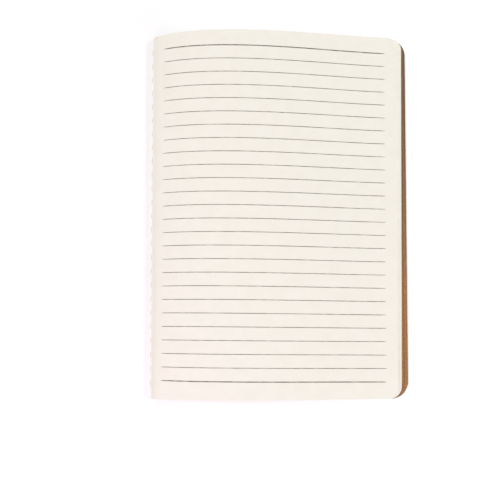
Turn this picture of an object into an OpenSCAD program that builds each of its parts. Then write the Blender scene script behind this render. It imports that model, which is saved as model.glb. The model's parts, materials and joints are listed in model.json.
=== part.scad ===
// Sewn A5 notebook with kraft covers, opened at its centre spread and folded back on itself.
// The left half lies flat with its page down. The right half lies on it, page up, and bulges.
// Lengths are in millimetres, +Y runs to the head of the page and +Z is up.

/* [Page] */
// Height of the leaves and covers, from foot to head
page_h = 210; // [150:1:260]
// Reach of each cover from its fold line to its fore edge
half_w = 146.5; // [110:0.5:190]
// Radius of the rounded corners at the fore edge
corner_r = 8; // [2:0.5:14]

/* [Leaves] */
// Leaves in each half of the notebook
leaves = 15; // [8:1:24]
// Thickness of one leaf
leaf_t = 0.09; // [0.06:0.01:0.14]
// Distance over which the leaf edges fan out in each half
leaf_fan = 1.2; // [0.4:0.1:4]

/* [Cover] */
// Thickness of the kraft card
cover_t = 0.35; // [0.2:0.05:0.6]
// Reach of the cover past the last leaf
cover_lip = 1.5; // [0.5:0.1:4]

/* [Bulge] */
// Height of the bulge above the upper fold line
bulge_h = 10.2; // [4:0.2:16]
// Angle at which the upper half rises from its fold line
rise_angle = 31; // [20:1:40]
// Length over which the upper half flattens out at its fore edge
landing_l = 34; // [15:1:50]
// Air between the two covers where the upper half comes down
lie_gap = 0.3; // [0.3:0.05:1]

/* [Fold] */
// Height of the sewn fold between the two halves
fold_h = 1.3; // [1.1:0.1:2.4]
// Clearance between the sewn fold and each half
fold_gap = 0.15; // [0.1:0.05:0.25]

/* [Stitching] */
// Thickness of the sewing thread
thread_d = 0.55; // [0.3:0.05:0.65]
// Radial clearance of the thread in its holes
thread_gap = 0.05; // [0.02:0.01:0.08]
// Distance from one stitch to the next
stitch_pitch = 8; // [5:0.5:14]
// Length of the stitch that shows on the centre spread
stitch_l = 3; // [1.5:0.1:4]
// Slack of each stitch away from the fold
stitch_slack = 0.15; // [0.05:0.05:0.4]
// Distance from head and foot within which there is no hole
stitch_margin = 4; // [2:0.5:12]

/* [Ruling] */
// Ruled lines on each page
line_count = 26; // [8:1:28]
// Distance from one line to the next
line_pitch = 7.63; // [5:0.01:7.8]
// Distance from the foot of the page to the last line
line_foot = 10.4; // [5:0.1:12]
// Nearest that a line may come to the head of the page
line_head = 1; // [0.5:0.1:8]
// Blank margin at both ends of each line
line_margin = 7.4; // [2:0.1:20]
// Width of a ruled line
line_w = 0.3; // [0.2:0.05:0.6]
// Width of the bolder first and last lines
bold_w = 0.55; // [0.3:0.05:1]
// Thickness of the printed line
ink_t = 0.05; // [0.03:0.01:0.06]

/* [Hidden] */
paper = [0.96, 0.94, 0.90];
kraft = [0.62, 0.44, 0.29];
cream = [0.97, 0.91, 0.80];
grey = [0.72, 0.70, 0.66];
// A short overlap that lets a cut pass right through a face
cut = 1;
curve_steps = 36;
corner_steps = 12;
half_t = leaves * leaf_t + cover_t;
nose_r = half_t / 2;
page_w = half_w - leaf_fan - cover_lip;
thread_r = thread_d / 2;
// The thread leaves its hole in a bend a little wider than its own radius
bend_r = 0.6 * thread_d;
stitch_out = bend_r + thread_r + stitch_slack;
// The fold line of the lower half, in the middle of its thickness
lower_z = nose_r;
upper_z = half_t + fold_h + nose_r;
// The middle lies halfway between the outside of the thread and the lower cover's fore edge
fold_x = (stitch_out + nose_r - half_w) / 2;
// The middle of the upper half comes down to this height, measured from its fold line
land_z = half_t + lie_gap + nose_r - upper_z;

// The bulge is a cubic curve. Its second point sets the height and the rising angle.
top_share = 4 / 9;
rise_z = (bulge_h - (1 - top_share) / 2 * land_z) / top_share;
rise_x = rise_z / tan(rise_angle);
function bulgeControls(reach) = [[0, 0], [rise_x, rise_z], [reach - landing_l, land_z], [reach, land_z]];
function cubic(p, t) = pow(1 - t, 3) * p[0] + 3 * pow(1 - t, 2) * t * p[1]
    + 3 * (1 - t) * t * t * p[2] + pow(t, 3) * p[3];
function slope(p, t) = 3 * pow(1 - t, 2) * (p[1] - p[0]) + 6 * (1 - t) * t * (p[2] - p[1])
    + 3 * t * t * (p[3] - p[2]);
function curveLength(p, i = 0) = i == curve_steps ? 0
    : norm(cubic(p, (i + 1) / curve_steps) - cubic(p, i / curve_steps)) + curveLength(p, i + 1);
// The reach is shortened until the bulging leaf is as long as the flat one
function fitReach(reach, tries) = tries == 0 ? reach
    : fitReach(reach + page_w - curveLength(bulgeControls(reach)), tries - 1);
reach = fitReach(page_w, 6);
bulge = bulgeControls(reach);
// Place along the curve where it passes a given distance from the fold
function findPlace(x, low, high, tries) = tries == 0 ? (low + high) / 2
    : cubic(bulge, (low + high) / 2)[0] < x ? findPlace(x, (low + high) / 2, high, tries - 1)
    : findPlace(x, low, (low + high) / 2, tries - 1);
line_start = findPlace(line_margin, 0, 1, 24);
line_end = findPlace(reach - line_margin, 0, 1, 24);
function spread(a, b, n) = [for (i = [0 : n]) a + (b - a) * i / n];
line_places = spread(line_start, line_end, curve_steps - 6);
curve_places = concat(spread(0, line_start, 3), [for (i = [1 : len(line_places) - 1]) line_places[i]],
    [for (i = [1 : 3]) line_end + (1 - line_end) * i / 3]);
// The upper half's middle surface, moved out along its normal
function beside(t, side) = let (d = slope(bulge, t)) cubic(bulge, t) + side * [-d[1], d[0]] / norm(d);
function reversed(q) = [for (i = [len(q) - 1 : -1 : 0]) q[i]];
function band(places, low, high, past) = concat(
    [for (t = places) beside(t, high)], past > 0 ? [beside(1, high) + [past, 0]] : [],
    past > 0 ? [beside(1, low) + [past, 0]] : [], reversed([for (t = places) beside(t, low)]));

leaf_step = leaf_fan / (leaves - 1);
// Lines are set from the foot upwards, and a shorter page holds fewer of them
line_ys = [for (i = [0 : line_count - 1])
    let (y = line_foot - page_h / 2 + i * line_pitch) if (y <= page_h / 2 - line_head) y];
last_line = len(line_ys) - 1;
stitch_count = floor((page_h - 2 * stitch_margin - stitch_l) / stitch_pitch) + 1;
first_stitch = -(stitch_count - 1) * stitch_pitch / 2;
hole_ys = [for (i = [0 : stitch_count - 1], side = [-1, 1])
    first_stitch + i * stitch_pitch + side * stitch_l / 2];
fold_mid_z = half_t + fold_h / 2;

// Turns an outline drawn across the notebook into a solid that runs from foot to head
module footToHead(length = page_h) {
    translate([0, length / 2, 0]) rotate([90, 0, 0]) linear_extrude(length) children();
}

// Outline of the waste cut from a sheet's corner at the head
function cornerWaste(edge) = concat([[edge + cut, page_h / 2 + cut], [edge - corner_r, page_h / 2 + cut]],
    [for (i = [0 : corner_steps]) let (a = 90 - 90 * i / corner_steps)
        [edge - corner_r * (1 - cos(a)), page_h / 2 - corner_r * (1 - sin(a))]],
    [[edge + cut, page_h / 2 - corner_r]]);

// Cuts the two corners of a sheet whose fore edge is at the given distance from the fold
module roundCorners(edge) {
    difference() {
        children();
        for (side = [0, 1])
            mirror([0, side, 0])
                translate([0, 0, -half_w]) linear_extrude(2 * half_w) polygon(cornerWaste(edge));
    }
}

// Half round that closes the leaves at a fold line, on the side away from the fore edge
module nose(angle) {
    rotate([0, -angle, 0])
        difference() {
            rotate([90, 0, 0]) cylinder(r = nose_r, h = page_h, center = true, $fn = 48);
            translate([0, -page_h / 2 - cut, -half_t]) cube([half_t, page_h + 2 * cut, 2 * half_t]);
        }
}

module left_pages() {
    color(paper) translate([fold_x, 0, lower_z])
        difference() {
            union() {
                nose(0);
                for (i = [0 : leaves - 1])
                    roundCorners(page_w + i * leaf_step)
                        translate([0, -page_h / 2, i * leaf_t - nose_r])
                            cube([page_w + i * leaf_step, page_h, leaf_t]);
            }
            leftLines();
        }
}

module leftLines() {
    for (i = [0 : last_line])
        let (w = i == 0 || i == last_line ? bold_w : line_w)
            translate([line_margin, line_ys[i] - w / 2, -nose_r])
                cube([page_w - 2 * line_margin, w, ink_t]);
}

module left_ruling() {
    color(grey) translate([fold_x, 0, lower_z]) leftLines();
}

module front_cover() {
    color(kraft) translate([fold_x, 0, lower_z])
        roundCorners(half_w)
            translate([0, -page_h / 2, nose_r - cover_t]) cube([half_w, page_h, cover_t]);
}

module foldStrip(from, to) {
    difference() {
        translate([fold_x + from, -page_h / 2, half_t + fold_gap])
            cube([to - from, page_h, fold_h - 2 * fold_gap]);
        for (y = hole_ys)
            translate([fold_x - half_t, y, fold_mid_z])
                rotate([0, 90, 0]) cylinder(r = thread_r + thread_gap, h = 2 * half_t, $fn = 24);
    }
}

module page_fold() {
    color(paper) foldStrip(-nose_r, nose_r - cover_t);
}

module cover_spine() {
    color(kraft) foldStrip(nose_r - cover_t, nose_r);
}

// One stitch: out through a hole, along the spread side and back, then on along the cover side
stitch_bend = 3;
function quarter(middle, from, to) = [for (i = [0 : stitch_bend])
    let (a = from + (to - from) * i / stitch_bend) middle + bend_r * [cos(a), sin(a)]];
function stitchPath(y) = concat(
    quarter([nose_r, y - stitch_l / 2 - bend_r], 0, 90),
    quarter([-nose_r, y - stitch_l / 2 + bend_r], 270, 180),
    [[-nose_r - bend_r - stitch_slack, y]],
    quarter([-nose_r, y + stitch_l / 2 - bend_r], 180, 90),
    quarter([nose_r, y + stitch_l / 2 + bend_r], 270, 360));
thread_path = [for (i = [0 : stitch_count - 1]) each stitchPath(first_stitch + i * stitch_pitch)];

// Round tube along a path that stays in one level plane
module tube(path, r, sides) {
    last = len(path) - 1;
    rings = [for (i = [0 : last])
        let (d = path[min(i + 1, last)] - path[max(i - 1, 0)], n = [-d[1], d[0]] / norm(d))
        for (k = [0 : sides - 1])
            let (a = 360 * (k + 0.5) / sides)
                [path[i][0] + r * cos(a) * n[0], path[i][1] + r * cos(a) * n[1], r * sin(a)]];
    skin = [for (i = [0 : last - 1], k = [0 : sides - 1])
        let (next = (k + 1) % sides)
            [i * sides + k, i * sides + next, (i + 1) * sides + next, (i + 1) * sides + k]];
    start = [[for (k = [sides - 1 : -1 : 0]) k]];
    end = [[for (k = [0 : sides - 1]) last * sides + k]];
    polyhedron(points = rings, faces = concat(skin, start, end), convexity = 10);
}

module thread() {
    color(cream) translate([fold_x, 0, fold_mid_z]) tube(thread_path, thread_r, 8);
}

module right_pages() {
    color(paper) translate([fold_x, 0, upper_z]) {
        nose(rise_angle);
        for (i = [0 : leaves - 1])
            roundCorners(reach + i * leaf_step)
                footToHead()
                    let (top = nose_r - i * leaf_t)
                        polygon(band(curve_places, top - leaf_t, top, i * leaf_step));
    }
}

module right_ruling() {
    color(grey) translate([fold_x, 0, upper_z])
        for (i = [0 : last_line])
            let (w = i == 0 || i == last_line ? bold_w : line_w)
                translate([0, line_ys[i], 0])
                    footToHead(w) polygon(band(line_places, nose_r, nose_r + ink_t, 0));
}

module back_cover() {
    color(kraft) translate([fold_x, 0, upper_z])
        roundCorners(reach + leaf_fan + cover_lip)
            footToHead() polygon(band(curve_places, -nose_r, cover_t - nose_r, leaf_fan + cover_lip));
}

left_pages();
left_ruling();
front_cover();
page_fold();
cover_spine();
thread();
right_pages();
right_ruling();
back_cover();
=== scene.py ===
import json
import math
import random

import bmesh
import bpy
import numpy as np
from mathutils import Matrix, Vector


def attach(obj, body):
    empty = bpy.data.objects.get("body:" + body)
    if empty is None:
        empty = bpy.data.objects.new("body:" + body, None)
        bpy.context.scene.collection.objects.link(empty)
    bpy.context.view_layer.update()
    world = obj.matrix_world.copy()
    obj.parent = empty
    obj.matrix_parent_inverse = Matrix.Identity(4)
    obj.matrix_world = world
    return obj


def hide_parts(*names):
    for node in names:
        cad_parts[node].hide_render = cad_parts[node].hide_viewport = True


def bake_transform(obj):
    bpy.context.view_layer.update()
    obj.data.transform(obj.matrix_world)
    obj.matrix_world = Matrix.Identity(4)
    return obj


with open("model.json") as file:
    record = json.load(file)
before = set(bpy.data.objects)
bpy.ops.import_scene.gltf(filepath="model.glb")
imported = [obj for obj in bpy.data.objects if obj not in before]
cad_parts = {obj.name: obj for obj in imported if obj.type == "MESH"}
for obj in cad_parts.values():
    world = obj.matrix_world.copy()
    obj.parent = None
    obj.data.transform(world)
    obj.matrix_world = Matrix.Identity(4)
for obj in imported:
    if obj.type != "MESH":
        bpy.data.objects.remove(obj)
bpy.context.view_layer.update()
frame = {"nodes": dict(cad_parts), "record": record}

mm = 0.001
joints = {joint["name"]: joint for joint in frame["record"]["behaviour"]["joints"]}
lowerFold = np.array(joints["front_cover_turn"]["pos_m"]) / mm
upperFold = np.array(joints["back_cover_turn"]["pos_m"]) / mm

book = {
    "height": 210.0,         # from foot to head
    "leafLength": 143.8,     # from the fold to the fore edge of the page that shows
    "stack": 1.7,            # fifteen leaves and the cover, pressed together
    "leaves": 15,            # in each half
    "leafPitch": 0.09,       # from one leaf to the next
    "leafThickness": 0.078,
    "cardThickness": 0.35,
    "coverReach": 146.5,     # from the fold to the fore edge of the cover
}
foldRadius = book["stack"] / 2


# The curve of the bulging half
bulge = {
    "height": 10.2,          # above the upper fold line
    "rise": 31.0,            # degrees at the fold
    "landing": 34.0,         # length that flattens out at the fore edge
    "drop": -1.0,            # where the half comes to lie, below its fold line
    "steps": 1200,
    "attempts": 12,
}


def bulgeCurve():
    # One Bezier curve. Its crown lies at this share of its first handle's height.
    share = 4 / 9
    riseZ = (bulge["height"] - (1 - share) / 2 * bulge["drop"]) / share
    riseX = riseZ / math.tan(math.radians(bulge["rise"]))
    t = np.linspace(0, 1, bulge["steps"] + 1)[:, None]
    # The reach is corrected until the curve is as long as the leaf
    reach = book["leafLength"]
    for attempt in range(bulge["attempts"]):
        p = np.array([[0, 0], [riseX, riseZ],
                      [reach - bulge["landing"], bulge["drop"]], [reach, bulge["drop"]]])
        points = ((1 - t) ** 3 * p[0] + 3 * (1 - t) ** 2 * t * p[1]
                  + 3 * (1 - t) * t * t * p[2] + t ** 3 * p[3])
        along = np.concatenate([[0], np.cumsum(np.hypot(*np.diff(points, axis=0).T))])
        reach += book["leafLength"] - along[-1]
    slope = 3 * (1 - t) ** 2 * (p[1] - p[0]) + 6 * (1 - t) * t * (p[2] - p[1]) + 3 * t * t * (p[3] - p[2])
    slope /= np.hypot(slope[:, 0], slope[:, 1])[:, None]
    return along, points, np.stack([-slope[:, 1], slope[:, 0]], 1)


curveAlong, curvePoints, curveNormals = bulgeCurve()


def upperPlace(s, off):
    x = np.interp(s, curveAlong, curvePoints[:, 0]) + np.maximum(s - curveAlong[-1], 0)
    z = np.interp(s, curveAlong, curvePoints[:, 1])
    nx = np.interp(s, curveAlong, curveNormals[:, 0])
    nz = np.interp(s, curveAlong, curveNormals[:, 1])
    return upperFold[0] + x + off * nx, upperFold[2] + z + off * nz


def lowerPlace(s, off):
    return lowerFold[0] + s, lowerFold[2] - off + 0 * s


# Each half is laid out from its fold, and its bend runs on round the fold line, up to so many degrees
upperHalf = {"body": "upper_half", "side": "right", "place": upperPlace, "fold": upperFold,
             "bendTo": 90 + bulge["rise"]}
lowerHalf = {"body": "lower_half", "side": "left", "place": lowerPlace, "fold": lowerFold,
             "bendTo": 270}


# Making meshes
def addMesh(name, parts, material, sharp=40, shades=None):
    # Every part is a list of points in millimetres and a list of faces
    # Edges that turn by more than so many degrees stay sharp
    points, faces = [], []
    for partPoints, partFaces in parts:
        start = len(points)
        points.extend(partPoints)
        faces.extend([[start + k for k in face] for face in partFaces])
    mesh = bpy.data.meshes.new(name)
    mesh.from_pydata([(x * mm, y * mm, z * mm) for x, y, z in points], [], faces)
    work = bmesh.new()
    work.from_mesh(mesh)
    bmesh.ops.recalc_face_normals(work, faces=work.faces)
    work.to_mesh(mesh)
    work.free()
    if shades is not None:
        # From 0 to 1: how much painted shade paper or card gets at each point, with the darker cut edge on
        # card, and for the floor how much of it is seen
        shade = mesh.attributes.new("shade", "FLOAT", "POINT")
        shade.data.foreach_set("value", np.concatenate(shades).astype(np.float32))
    mesh.shade_smooth()
    mesh.set_sharp_from_angle(angle=math.radians(sharp))
    piece = bpy.data.objects.new(name, mesh)
    bpy.context.scene.collection.objects.link(piece)
    mesh.materials.append(material)
    return piece


def closedSheet(outer, inner):
    # Joins the two faces of a sheet along its rim
    rows, columns = outer.shape[:2]
    size = rows * columns
    at = lambda r, c: r * columns + c
    faces = []
    for r in range(rows - 1):
        for c in range(columns - 1):
            quad = [at(r, c), at(r, c + 1), at(r + 1, c + 1), at(r + 1, c)]
            faces.append(quad)
            faces.append([size + k for k in reversed(quad)])
    rim = [at(0, c) for c in range(columns)] + [at(r, columns - 1) for r in range(1, rows)]
    rim += [at(rows - 1, c) for c in range(columns - 2, -1, -1)] + [at(r, 0) for r in range(rows - 2, 0, -1)]
    for k, here in enumerate(rim):
        after = rim[(k + 1) % len(rim)]
        faces.append([here, after, size + after, size + here])
    points = [tuple(p) for p in outer.reshape(-1, 3)] + [tuple(p) for p in inner.reshape(-1, 3)]
    return points, faces


def sheetPlaces(edge, radius, steps=52, cornerSteps=10):
    # Places from the fold to the fore edge, closer together at the fold and in the corner
    flat = (edge - radius) * np.linspace(0, 1, steps + 1) ** 1.25
    corner = edge - radius + radius * np.sin(np.linspace(0, math.pi / 2, cornerSteps + 1)[1:])
    return np.concatenate([flat, corner])


def halfHeight(s, edge, radius, height):
    # Half the height of a sheet at a place, with the fore-edge corner rounded off
    into = np.clip(s - (edge - radius), 0, radius)
    return height / 2 - radius + np.sqrt(radius ** 2 - into ** 2)


# How a sheet is shaped at its fore edge and at the head of the fold
sheetForm = {
    "liftStart": 92,         # from the fold to where the upper leaves begin to stand up
    "liftLength": 52,        # from there to the full lift
    "liftMost": 1.1,
    "liftHeight": 190,       # up the page, from the full lift to none
    "liftFall": 2.2,         # the higher, the nearer to the foot it stays
    "headHeight": 9,         # of the corner that is pulled in at the head of the fold
    "headReach": 6.5,        # from the fold, where that has faded to a third
    "bendSteps": 10,
}


def foreEdgeLift(s, y):
    # The upper leaves stand up a little at the fore edge, most of all towards the foot
    outward = np.clip((s - sheetForm["liftStart"]) / sheetForm["liftLength"], 0, sheetForm["liftMost"]) ** 2
    return outward * np.clip(0.5 - y / sheetForm["liftHeight"], 0, 1) ** sheetForm["liftFall"]


def nearHead(y, height):
    corner = sheetForm["headHeight"]
    return np.clip((y - height / 2 + corner) / corner, 0, 1) ** 2


def sheetGrid(half, outerOff, innerOff, edge, height, radius, bend=None, skew=(0, 0),
              columns=29, headDip=0.0, lift=0.0):
    # Outer and inner face of a leaf or cover. The bend wraps it round the fold line.
    s = sheetPlaces(edge, radius)
    limit = halfHeight(s, edge, radius, height)
    across = np.sin(np.linspace(-1, 1, columns) * math.pi / 2)
    y = limit[:, None] * across[None, :]
    # The corner at the head of the fold is pulled in a little
    y = y - headDip * np.exp(-s / sheetForm["headReach"])[:, None] * nearHead(y, height)
    stretched = s[:, None] * (1 + (skew[0] + skew[1] * y) / edge)
    faces = []
    for off in (outerOff, innerOff):
        x, z = half["place"](stretched, off + lift * foreEdgeLift(stretched, y))
        grid = np.stack([x, y, z], 2)
        if bend is not None:
            angles = np.radians(np.linspace(bend, half["bendTo"], sheetForm["bendSteps"] + 1))[:-1]
            arcX = half["fold"][0] + abs(off) * np.cos(angles)
            arcZ = half["fold"][2] + abs(off) * np.sin(angles)
            rows = [np.stack([np.full(columns, ax), y[0], np.full(columns, az)], 1)
                    for ax, az in zip(arcX, arcZ)]
            grid = np.concatenate([np.array(rows), grid], 0)
        faces.append(grid)
    # How far each point lies from the rim and the fold, and how high up the page
    where = {
        "rim": np.minimum(edge - s[:, None], limit[:, None] - np.abs(y)),
        "fold": s[:, None] + 0 * y,
        "height": y,
    }
    for name in where:
        if bend is not None:
            onBend = np.repeat(where[name][:1], sheetForm["bendSteps"], 0)
            where[name] = np.concatenate([onBend, where[name]], 0)
        where[name] = np.tile(where[name].ravel(), 2)
    return closedSheet(*faces), where


# Finishes
def startMaterial(name, roughness):
    material = bpy.data.materials.new(name)
    material.use_nodes = True
    nodes = material.node_tree.nodes
    shader = nodes["Principled BSDF"]
    shader.inputs["Roughness"].default_value = roughness
    return material, nodes, material.node_tree.links, shader


def addNoise(nodes, links, place, size, detail=3.0, stretch=(1, 1, 1), turn=(0, 0, 0)):
    # Size is that of one blotch, in millimetres
    mapping = nodes.new("ShaderNodeMapping")
    mapping.inputs["Scale"].default_value = [1 / (size * mm * k) for k in stretch]
    mapping.inputs["Rotation"].default_value = [math.radians(a) for a in turn]
    noise = nodes.new("ShaderNodeTexNoise")
    noise.inputs["Scale"].default_value = 1.0
    noise.inputs["Detail"].default_value = detail
    links.new(place.outputs["Object"], mapping.inputs["Vector"])
    links.new(mapping.outputs["Vector"], noise.inputs["Vector"])
    return noise.outputs["Fac"]


def addRange(nodes, links, source, low, high, to=(0, 1)):
    ranged = nodes.new("ShaderNodeMapRange")
    ranged.inputs["From Min"].default_value = low
    ranged.inputs["From Max"].default_value = high
    ranged.inputs["To Min"].default_value = to[0]
    ranged.inputs["To Max"].default_value = to[1]
    links.new(source, ranged.inputs["Value"])
    return ranged.outputs["Result"]


def addMix(nodes, links, factor, first, second):
    # Either colour is a tuple or another node's output
    mix = nodes.new("ShaderNodeMix")
    mix.data_type = "RGBA"
    links.new(factor, mix.inputs[0])
    for socket, value in ((mix.inputs[6], first), (mix.inputs[7], second)):
        if isinstance(value, tuple):
            socket.default_value = (*value, 1)
        else:
            links.new(value, socket)
    return mix.outputs[2]


def addBump(nodes, links, shader, source, depth, strength):
    # Depth in millimetres
    bump = nodes.new("ShaderNodeBump")
    bump.inputs["Distance"].default_value = depth * mm
    bump.inputs["Strength"].default_value = strength
    links.new(source, bump.inputs["Height"])
    links.new(bump.outputs["Normal"], shader.inputs["Normal"])


def readShade(nodes):
    reader = nodes.new("ShaderNodeAttribute")
    reader.attribute_name = "shade"
    return reader.outputs["Fac"]


paper = {
    "colour": (0.908, 0.888, 0.798),
    "cloud": (0.884, 0.858, 0.762),   # where the sheet is a little thicker
    "paintedCreaseShade": (0.79, 0.79, 0.68),     # painted shade in the crease beside the fold
    "cloudSize": 7.0,
    "fibreSize": 0.9,
    "fibreShape": (2.5, 0.6, 1),      # length, width and depth
    "fibreTurn": (0, 0, 35),          # degrees
    "grainSize": 0.4,
    "grainDepth": 0.012,
    "roughness": 0.88,
}


def makePaper():
    material, nodes, links, shader = startMaterial("cream_writing_paper", paper["roughness"])
    place = nodes.new("ShaderNodeTexCoord")
    clouds = addRange(nodes, links, addNoise(nodes, links, place, paper["cloudSize"], 5), 0.35, 0.7)
    fibres = addNoise(nodes, links, place, paper["fibreSize"], 4, paper["fibreShape"], paper["fibreTurn"])
    fibres = addRange(nodes, links, fibres, 0.4, 0.75, (0, 0.5))
    colour = addMix(nodes, links, clouds, paper["colour"], paper["cloud"])
    colour = addMix(nodes, links, fibres, colour, paper["cloud"])
    # Painted shade in the crease beside the fold, as much as the shade attribute gives
    colour = addMix(nodes, links, readShade(nodes), colour, paper["paintedCreaseShade"])
    links.new(colour, shader.inputs["Base Color"])
    grain = addNoise(nodes, links, place, paper["grainSize"], 3)
    addBump(nodes, links, shader, grain, paper["grainDepth"], 0.5)
    return material


card = {
    "colour": (0.436, 0.206, 0.070),
    "light": (0.560, 0.292, 0.116),   # pale fibres
    "dark": (0.240, 0.098, 0.032),    # dark fibres
    "rim": (0.16, 0.085, 0.045),      # darker colour of the cut edge, and of the painted shade along the fore edge
    "roughness": 0.8,
    "blotch": 9,                      # size of the slightly darker areas
    "blotchTone": 0.9,
    "relief": 0.6,                    # size of the bumps
    "fibreDepth": 0.03,
    "fibreWidth": 0.36,
    # Short fibres in several directions: degrees, length, tone, and how rare they are
    "fibres": [(12, 3.0, "light", 0.58), (78, 2.6, "dark", 0.58), (-40, 2.2, "light", 0.6),
               (-65, 2.8, "dark", 0.6), (35, 2.0, "dark", 0.62)],
    "speckle": 0.8,                   # size of the dark spots
    "fleck": 1.0,                     # size of the pale ones
}


def makeCard():
    material, nodes, links, shader = startMaterial("brown_kraft_card", card["roughness"])
    place = nodes.new("ShaderNodeTexCoord")
    blotches = addRange(nodes, links, addNoise(nodes, links, place, card["blotch"], 4), 0.35, 0.65)
    darker = tuple(card["blotchTone"] * k for k in card["colour"])
    colour = addMix(nodes, links, blotches, card["colour"], darker)
    relief = addNoise(nodes, links, place, card["relief"], 5)
    for turn, length, tone, low in card["fibres"]:
        fibre = addNoise(nodes, links, place, card["fibreWidth"], 1.5,
                         (length / card["fibreWidth"] * 0.5, 1, 1.5), (0, 0, turn))
        amount = addRange(nodes, links, fibre, low, low + 0.12, (0, 0.9))
        colour = addMix(nodes, links, amount, colour, card[tone])
    speckle = addRange(nodes, links, addNoise(nodes, links, place, card["speckle"], 2), 0.42, 0.72, (0, 0.55))
    colour = addMix(nodes, links, speckle, colour, card["dark"])
    flecks = addRange(nodes, links, addNoise(nodes, links, place, card["fleck"], 2.5), 0.52, 0.72, (0, 0.7))
    colour = addMix(nodes, links, flecks, colour, card["light"])
    # Darker cut edge, and painted shade along the fore edge that grows towards the head
    colour = addMix(nodes, links, readShade(nodes), colour, card["rim"])
    links.new(colour, shader.inputs["Base Color"])
    addBump(nodes, links, shader, relief, card["fibreDepth"], 0.6)
    return material


ink = {
    "lineColour": (0.122, 0.105, 0.073),
    "boldColour": (0.128, 0.112, 0.080),
    "thinSize": 1.6,                  # of the places where the print is thin
    "thinShape": (3, 1, 1),           # length, width and depth
    "grainSize": 0.3,
    "grainDepth": 0.008,
    "roughness": 0.7,
}


def makeInk(name, colour):
    material, nodes, links, shader = startMaterial(name, ink["roughness"])
    place = nodes.new("ShaderNodeTexCoord")
    # The print is a little uneven, and paper shows through where it is thin
    thin = addNoise(nodes, links, place, ink["thinSize"], 4, ink["thinShape"])
    thin = addRange(nodes, links, thin, 0.45, 0.8, (0, 0.5))
    links.new(addMix(nodes, links, thin, colour, paper["colour"]), shader.inputs["Base Color"])
    grain = addNoise(nodes, links, place, ink["grainSize"], 2)
    addBump(nodes, links, shader, grain, ink["grainDepth"], 0.5)
    return material


yarn = {
    "colour": (0.94, 0.84, 0.70),
    "shade": (0.80, 0.68, 0.52),
    "roughness": 0.75,
    "sheen": 0.25,
    "fibreSize": 0.12,
    "fibreShape": (1, 3, 1),
    "fibreDepth": 0.03,
}


def makeThread():
    material, nodes, links, shader = startMaterial("cream_sewing_thread", yarn["roughness"])
    shader.inputs["Sheen Weight"].default_value = yarn["sheen"]
    place = nodes.new("ShaderNodeTexCoord")
    fibres = addNoise(nodes, links, place, yarn["fibreSize"], 3, yarn["fibreShape"])
    tone = addRange(nodes, links, fibres, 0.4, 0.7)
    links.new(addMix(nodes, links, tone, yarn["colour"], yarn["shade"]), shader.inputs["Base Color"])
    addBump(nodes, links, shader, fibres, yarn["fibreDepth"], 0.7)
    return material


paperFinish = makePaper()
cardFinish = makeCard()
threadFinish = makeThread()
lineFinish = makeInk("pale_grey_print", ink["lineColour"])
boldFinish = makeInk("grey_print", ink["boldColour"])
print("finishes made")


# Leaves
leafShape = {
    "step": 1.2 / 14,           # each leaf reaches this much further than the one before
    "edgeJitter": 0.06,
    "heightJitter": 0.12,
    "cornerRadius": 7.0,
    "headDip": 1.4,             # how far the head of the fold is pulled in
    "paintedCreaseShade": 0.9,              # how dark the painted shade in the crease beside the fold gets
    "creaseShadePlace": 0.9,         # from the fold line to the darkest line of the painted crease shade
    "creaseShadeMiddle": 0.65,       # share of it that shows at half height
    "creaseShadeRise": 0.35,         # more at the foot, and less at the head
    "firstSkew": (-0.05, 0.0084),  # set and slant of the top leaf's fore edge
    "lastSkew": (0.87, 0.0080),
    "lifts": (0.65, 0.32, 0.10),  # of the first leaves at the fore edge
    "leastBend": 0.03,          # inner leaves with a smaller bend than this get none
    "lowerInset": 0.02,         # keeps the lower half's page off the table
    "lowerSkew": (0.1, -0.0006),
    "lowerDip": 0.3,
}
leafDraw = random.Random(7)


def makeLeaves(half):
    sheets, shades = [], []
    count = book["leaves"]
    for i in range(count):
        top = foldRadius - i * book["leafPitch"] - (leafShape["lowerInset"] if half is lowerHalf else 0.0)
        low = top - book["leafThickness"]
        edge = book["leafLength"] + i * leafShape["step"]
        share = i / (count - 1)
        if half is upperHalf:
            skew = [a + (b - a) * share for a, b in zip(leafShape["firstSkew"], leafShape["lastSkew"])]
            dip = leafShape["headDip"]
        else:
            skew = list(leafShape["lowerSkew"])
            dip = leafShape["lowerDip"]
        skew[0] += leafDraw.uniform(-1, 1) * leafShape["edgeJitter"]
        height = book["height"] - leafDraw.uniform(0, 1) * leafShape["heightJitter"]
        bend = 180 if i > 0 and low > leafShape["leastBend"] else None
        lift = leafShape["lifts"][i] if half is upperHalf and i < len(leafShape["lifts"]) else 0.0
        sheet, where = sheetGrid(half, top, low, edge, height, leafShape["cornerRadius"], bend, skew,
                                 headDip=dip, lift=lift)
        sheets.append(sheet)
        # Painted shade in the crease beside the fold: none on the fold line, darkest a little beside it, then
        # fading, more at the foot and less at the head
        creaseShadeRatio = where["fold"] / leafShape["creaseShadePlace"]
        footward = (leafShape["creaseShadeMiddle"]
                    - leafShape["creaseShadeRise"] * where["height"] / (book["height"] / 2))
        shades.append(leafShape["paintedCreaseShade"] * footward * creaseShadeRatio * np.exp(1 - creaseShadeRatio))
    piece = addMesh(half["side"] + "_leaves", sheets, paperFinish, shades=shades)
    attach(piece, half["body"])
    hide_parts(half["side"] + "_pages")


makeLeaves(upperHalf)
makeLeaves(lowerHalf)
print("leaves made")


# Covers
coverShape = {
    "cornerRadius": 10.0,
    "headDip": 0.2,
    "backSkew": (0.23, 0.001),  # set and slant of the back cover's fore edge
    "frontSkew": (-0.15, 0.0),
    "edgeTone": 0.9,            # darkness of the cut edge
    "edgeDepth": 0.45,
    "foreEdgeShade": 1.0,            # darkness of the painted shade on the strip along it
    "foreEdgeShadeDepth": 3.5,
    "foreEdgeShadeFrom": -35,         # the height where that begins, and it grows towards the head
    "foreEdgeShadeRise": 110,
}


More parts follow.
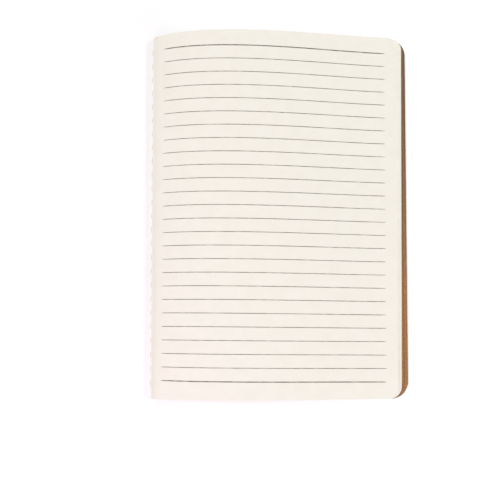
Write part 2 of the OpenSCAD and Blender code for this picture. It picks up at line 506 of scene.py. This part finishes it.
def makeCover(half, name, node):
    inner = -foldRadius + book["cardThickness"]
    skew = coverShape["backSkew"] if half is upperHalf else coverShape["frontSkew"]
    sheet, where = sheetGrid(half, inner, -foldRadius, book["coverReach"], book["height"],
                             coverShape["cornerRadius"], skew=skew, columns=33, headDip=coverShape["headDip"])
    # Painted shade along the fore edge, growing towards the head, added to the darker cut edge
    headwardShade = np.clip((where["height"] - coverShape["foreEdgeShadeFrom"]) / coverShape["foreEdgeShadeRise"], 0, 1)
    shade = coverShape["edgeTone"] * np.exp(-where["rim"] / coverShape["edgeDepth"])
    shade = shade + coverShape["foreEdgeShade"] * headwardShade * np.exp(-where["rim"] / coverShape["foreEdgeShadeDepth"])
    piece = addMesh(name, [sheet], cardFinish, shades=[np.clip(shade, 0, 1)])
    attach(piece, half["body"])
    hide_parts(node)


makeCover(upperHalf, "back_card", "back_cover")
makeCover(lowerHalf, "front_card", "front_cover")
print("covers made")


# Printed ruling
ruling = {
    "count": 26,
    "pitch": 7.626,
    "foot": 10.4,               # from the foot of the page to the last line
    "startMargin": 6.8,
    "endMargin": 7.53,
    "width": 0.36,              # with the spread of the ink
    "boldWidth": 0.58,
    "endLength": 2.5,           # over which a line thins out at each end
    "endWidth": 0.35,           # share of the width that is left there
    "endPower": 0.6,
    "slant": -0.0070,           # the print sits a little askew on the page
    "shift": -0.28,
    "proud": 0.02,              # of the fold's radius, in the upper half
    "lowerProud": -0.005,       # in the lower half, where it has to clear the table
    "depth": 0.03,              # below that radius
}


def makeRuling(half, node):
    ends = ruling["endLength"]
    proud = ruling["proud"] if half is upperHalf else ruling["lowerProud"]
    for bold in (False, True):
        strips = []
        for i in range(ruling["count"]):
            if (i in (0, ruling["count"] - 1)) != bold:
                continue
            y = ruling["foot"] - book["height"] / 2 + i * ruling["pitch"]
            start = ruling["startMargin"] - ruling["slant"] / 2 * y
            end = book["leafLength"] - ruling["endMargin"] - ruling["slant"] / 2 * y
            s = np.concatenate([start + np.linspace(0, ends, 6)[:-1],
                                np.linspace(start + ends, end - ends, 56),
                                end - ends + np.linspace(0, ends, 6)[1:]])
            fade = np.clip(np.minimum(s - start, end - s) / ends, 0, 1)
            thinned = ruling["endWidth"] + (1 - ruling["endWidth"]) * fade ** ruling["endPower"]
            width = (ruling["boldWidth"] if bold else ruling["width"]) * thinned
            faces = []
            for off in (foldRadius + proud, foldRadius - ruling["depth"]):
                lift = leafShape["lifts"][0] * foreEdgeLift(s, y) if half is upperHalf else 0
                x, z = half["place"](s, off + lift)
                middle = y + ruling["slant"] * x + ruling["shift"]
                rows = [np.stack([x, middle + side * width / 2, z], 1) for side in (-1, 0, 1)]
                faces.append(np.stack(rows, 1))
            strips.append(closedSheet(*faces))
        kind = "_bold_lines" if bold else "_lines"
        piece = addMesh(half["side"] + kind, strips, boldFinish if bold else lineFinish)
        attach(piece, half["body"])
        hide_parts(node)


makeRuling(upperHalf, "right_ruling")
makeRuling(lowerHalf, "left_ruling")
print("ruling made")


# The fold
foldParts = {
    "pageProud": 0.02,          # the centre sheet lies this much outside the fold
    "tableGap": 0.01,           # kept free under it, where it lies on the table
    "middle": (lowerFold[2] + upperFold[2]) / 2,
    "pageThickness": 0.09,
    "cardThickness": 0.3,
    "stretchStart": 0.7,        # shares of the fold's radius, above and below the fold line,
    "stretchEnd": 0.25,         # between which a bend stretches as its half turns
    "bendPoints": 15,
    "columns": 29,
}


def makeBend(half, name, outer, inner, face, finish):
    # One sheet that runs from a half round its fold line to the middle of the fold.
    # Face is 180 degrees on the page's side and 0 on the cover's.
    startAngle = half["bendTo"] if face == 180 else half["bendTo"] - 180
    angles = np.radians(np.linspace(startAngle, face, foldParts["bendPoints"]))
    columns = foldParts["columns"]
    across = np.sin(np.linspace(-1, 1, columns) * math.pi / 2)
    grids = []
    for radius in (outer, inner):
        depth = radius if half is upperHalf else min(radius, foldRadius - foldParts["tableGap"])
        xs = list(half["fold"][0] + radius * np.cos(angles))
        zs = list(half["fold"][2] + depth * np.sin(angles))
        for share in (0.25, 0.5, 0.75, 1.0):
            xs.append(xs[foldParts["bendPoints"] - 1])
            zs.append(half["fold"][2] + (foldParts["middle"] - half["fold"][2]) * share)
        rows = []
        for x, z in zip(xs, zs):
            y = across * (book["height"] / 2)
            if half is upperHalf:
                y = y - leafShape["headDip"] * nearHead(y, book["height"])
            rows.append(np.stack([np.full(columns, x), y, np.full(columns, z)], 1))
        grids.append(np.array(rows))
    piece = addMesh(name, [closedSheet(*grids)], finish)
    x, z = half["fold"][0], half["fold"][2]
    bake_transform(piece)


pageOuter = foldRadius + foldParts["pageProud"]
pageInner = pageOuter - foldParts["pageThickness"]
cardInner = foldRadius - foldParts["cardThickness"]
for half in (upperHalf, lowerHalf):
    makeBend(half, half["side"] + "_page_bend", pageOuter, pageInner, 180, paperFinish)
    makeBend(half, half["side"] + "_card_bend", foldRadius, cardInner, 0, cardFinish)
for nodeName, finish in (("page_fold", paperFinish), ("cover_spine", cardFinish)):
    node = frame["nodes"][nodeName]
    node.data.materials.clear()
    node.data.materials.append(finish)
print("fold made")


# Sewing thread
stitching = {
    "pitch": 8.0,
    "length": 3.0,              # of the stitch that shows on the spread
    "count": 25,
    "thread": 0.55,
    "slack": 0.12,
    "slackJitter": 0.07,
    "twist": 1.25,              # length of one turn of the two plies
    "plyRadius": 0.15,
    "plySpread": 0.125,
    "bend": 0.6,                # radius where it turns into a hole, as a share of its thickness
    "slackHalf": 0.35,          # half the length that hangs slack
    "step": 0.16,               # from one ring of points to the next
    "sides": 7,
}
stitchDraw = random.Random(3)


def threadPath():
    # Out through a hole, along the spread side, back in, and on along the cover side
    bend = stitching["bend"] * stitching["thread"]
    loose = stitching["slackHalf"]
    quarter = lambda x, y, a, b: [(x + bend * math.cos(math.radians(k)), y + bend * math.sin(math.radians(k)))
                                  for k in np.linspace(a, b, 6)]
    points = []
    first = -(stitching["count"] - 1) * stitching["pitch"] / 2
    for i in range(stitching["count"]):
        y = first + i * stitching["pitch"]
        half = stitching["length"] / 2
        slack = stitching["slack"] - stitchDraw.uniform(0, 1) * stitching["slackJitter"]
        points += quarter(foldRadius, y - half - bend, 0, 90)
        points += quarter(-foldRadius, y - half + bend, 270, 180)
        points += [(-foldRadius - bend - slack, y - loose), (-foldRadius - bend - slack, y + loose)]
        points += quarter(-foldRadius, y + half - bend, 180, 90)
        points += quarter(foldRadius, y + half + bend, 270, 360)
    return np.array(points)


def makeThreadPiece():
    path = threadPath()
    along = np.concatenate([[0], np.cumsum(np.hypot(*np.diff(path, axis=0).T))])
    steps = np.arange(0, along[-1], stitching["step"])
    px, py = np.interp(steps, along, path[:, 0]), np.interp(steps, along, path[:, 1])
    dx, dy = np.gradient(px), np.gradient(py)
    length = np.hypot(dx, dy)
    nx, ny = -dy / length, dx / length
    level = foldParts["middle"]
    plies = []
    sides, spread, r = stitching["sides"], stitching["plySpread"], stitching["plyRadius"]
    for ply in (0, math.pi):
        turn = 2 * math.pi * steps / stitching["twist"] + ply
        cx = px + spread * np.cos(turn) * nx
        cy = py + spread * np.cos(turn) * ny
        cz = level + spread * np.sin(turn)
        points, faces = [], []
        for k in range(len(steps)):
            for j in range(sides):
                a = 2 * math.pi * j / sides
                points.append((cx[k] + r * math.cos(a) * nx[k], cy[k] + r * math.cos(a) * ny[k],
                               cz[k] + r * math.sin(a)))
        for k in range(len(steps) - 1):
            for j in range(sides):
                n = (j + 1) % sides
                faces.append([k * sides + j, k * sides + n, (k + 1) * sides + n, (k + 1) * sides + j])
        faces.append(list(range(sides - 1, -1, -1)))
        faces.append([(len(steps) - 1) * sides + j for j in range(sides)])
        plies.append((points, faces))
    piece = addMesh("sewing_thread", plies, threadFinish, sharp=80)
    piece.location.x = lowerFold[0] * mm
    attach(piece, "sewn_fold")
    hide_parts("thread")


makeThreadPiece()
print("thread made")


# Floor, lights and camera
setting = {
    "floorHeight": -0.2,
    "floorSize": 8000,
    "floorColour": 0.95,
    "floorGlow": (0.06, 0.18),  # lifts the floor to white, less so left of the fold, which paints a little shade there and deepens the shadow beside the fold
    "glowColour": (0.92, 0.95, 1.0),
    "glowFrom": (-0.072, -0.050),  # metres, where it goes from the one to the other
    "floorMiddle": (-40, 0),    # the floor is seen round here, where shadows fall on it,
    "floorSeen": (125, 112),    # this far to each side,
    "floorFade": 75,            # and beyond that it fades into the white room
    "floorGrid": 400,           # half the width of its fine part, in squares of 20
    "floorSight": 0.3,          # metres, how deep a piece beneath the floor still shows
    "sightSamples": 40,
    "sightFrom": 0.975,         # below this share of open space beneath, the floor is clear
    "skyStrength": 0.46,
    "leftLight": 1.21,
    "leftFrom": (66, 180),      # degrees up, and round from the right towards the head
    "leftSoftness": 30,
    "rightLight": 0.76,
    "rightFrom": (42, 0),
    "rightSoftness": 22,
    "bouncePower": 0.25,        # watts
    "bouncePlace": (-230, -330, 230),
    "bounceSize": 200,
    "bounceColour": (1.0, 0.45, 0.85),
    "cameraPlace": (-21.85, -66.73, 400.0),
    "cameraTurn": (2.936, 0.081, 0.100),   # degrees
    "lens": 51.867,
    "shiftY": 0.11667,
}


def addShaderMix(nodes, links, factor, first, second):
    mix = nodes.new("ShaderNodeMixShader")
    links.new(factor, mix.inputs[0])
    links.new(first.outputs[0], mix.inputs[1])
    links.new(second.outputs[0], mix.inputs[2])
    return mix


def makeTable():
    material = bpy.data.materials.new("white_table")
    material.use_nodes = True
    nodes, links = material.node_tree.nodes, material.node_tree.links
    nodes.remove(nodes["Principled BSDF"])
    plain = nodes.new("ShaderNodeBsdfDiffuse")
    plain.inputs["Color"].default_value = (*[setting["floorColour"]] * 3, 1)
    glow = nodes.new("ShaderNodeEmission")
    glow.inputs["Color"].default_value = (*setting["glowColour"], 1)
    # The glow is weaker left of the fold: painted shade that deepens the shadow beside the fold
    split = nodes.new("ShaderNodeSeparateXYZ")
    links.new(nodes.new("ShaderNodeTexCoord").outputs["Object"], split.inputs[0])
    strength = addRange(nodes, links, split.outputs["X"], *setting["glowFrom"], setting["floorGlow"])
    links.new(strength, glow.inputs["Strength"])
    bright = nodes.new("ShaderNodeAddShader")
    links.new(plain.outputs[0], bright.inputs[0])
    links.new(glow.outputs[0], bright.inputs[1])
    # The upper half swings below the table, so the floor is clear where something lies beneath it
    beneath = nodes.new("ShaderNodeAmbientOcclusion")
    beneath.inside = True
    beneath.samples = setting["sightSamples"]
    beneath.inputs["Distance"].default_value = setting["floorSight"]
    solid = addRange(nodes, links, beneath.outputs["AO"], setting["sightFrom"], 1.0)
    clear = nodes.new("ShaderNodeBsdfTransparent")
    ray = nodes.new("ShaderNodeLightPath")
    # It doesn't shade what is beneath it either: light goes through, and bounces on its upper side only
    side = nodes.new("ShaderNodeNewGeometry")
    lit = addShaderMix(nodes, links, side.outputs["Backfacing"], plain, clear)
    seen = addShaderMix(nodes, links, readShade(nodes), clear, bright)
    whole = addShaderMix(nodes, links, ray.outputs["Is Camera Ray"], lit, seen)
    whole = addShaderMix(nodes, links, solid, clear, whole)
    whole = addShaderMix(nodes, links, ray.outputs["Is Shadow Ray"], whole, clear)
    links.new(whole.outputs[0], nodes["Material Output"].inputs["Surface"])
    return material


def makeFloor():
    near = np.linspace(-setting["floorGrid"], setting["floorGrid"], setting["floorGrid"] // 10 + 1)
    far = setting["floorSize"] / 2
    places = np.concatenate([[-far], near, [far]])
    x, y = np.meshgrid(places, places)
    beyond = [np.maximum(np.abs(k - middle) - reach, 0)
              for k, middle, reach in zip((x, y), setting["floorMiddle"], setting["floorSeen"])]
    solid = np.clip(1 - np.hypot(*beyond) / setting["floorFade"], 0, 1)
    points = [(a, b, setting["floorHeight"]) for a, b in zip(x.ravel(), y.ravel())]
    wide = len(places)
    faces = [[r * wide + c, r * wide + c + 1, (r + 1) * wide + c + 1, (r + 1) * wide + c]
             for r in range(wide - 1) for c in range(wide - 1)]
    floor = addMesh("floor", [(points, faces)], makeTable(), shades=[solid.ravel()])
    # Light from beneath passes through it only when it faces up
    if floor.data.polygons[0].normal.z <= 0:
        floor.data.flip_normals()


def placeLight(name, lamp, place):
    light = bpy.data.objects.new(name, lamp)
    light.location = place
    light.rotation_euler = (-place).to_track_quat("-Z", "Y").to_euler()
    bpy.context.scene.collection.objects.link(light)


def makeLights():
    world = bpy.data.worlds.new("soft_white_room")
    bpy.context.scene.world = world
    world.use_nodes = True
    nodes, links = world.node_tree.nodes, world.node_tree.links
    room = nodes["Background"]
    room.inputs["Color"].default_value = (1, 1, 1, 1)
    room.inputs["Strength"].default_value = setting["skyStrength"]
    seen = nodes.new("ShaderNodeBackground")
    seen.inputs["Color"].default_value = (1, 1, 1, 1)
    seen.inputs["Strength"].default_value = 1.0
    ray = nodes.new("ShaderNodeLightPath")
    choose = addShaderMix(nodes, links, ray.outputs["Is Camera Ray"], room, seen)
    links.new(choose.outputs[0], nodes["World Output"].inputs["Surface"])
    for side in ("left", "right"):
        up, turn = [math.radians(a) for a in setting[side + "From"]]
        lamp = bpy.data.lights.new(side + "_light", "SUN")
        lamp.energy = setting[side + "Light"]
        lamp.angle = math.radians(setting[side + "Softness"])
        aim = (math.cos(up) * math.cos(turn), math.cos(up) * math.sin(turn), math.sin(up))
        placeLight(side + "_light", lamp, Vector(aim))
    warm = bpy.data.lights.new("warm_bounce", "AREA")
    warm.energy = setting["bouncePower"]
    warm.size = setting["bounceSize"] * mm
    warm.color = setting["bounceColour"]
    placeLight("warm_bounce", warm, Vector(setting["bouncePlace"]) * mm)


def makeCamera():
    lens = bpy.data.cameras.new("camera")
    lens.sensor_width = 36
    lens.lens = setting["lens"]
    lens.shift_y = setting["shiftY"]
    lens.clip_start = 0.01
    camera = bpy.data.objects.new("camera", lens)
    camera.location = [k * mm for k in setting["cameraPlace"]]
    camera.rotation_euler = [math.radians(a) for a in setting["cameraTurn"]]
    bpy.context.scene.collection.objects.link(camera)
    bpy.context.scene.camera = camera


makeFloor()
makeLights()
makeCamera()
bpy.context.scene.view_settings.view_transform = "Standard"
print("floor, lights and camera made")
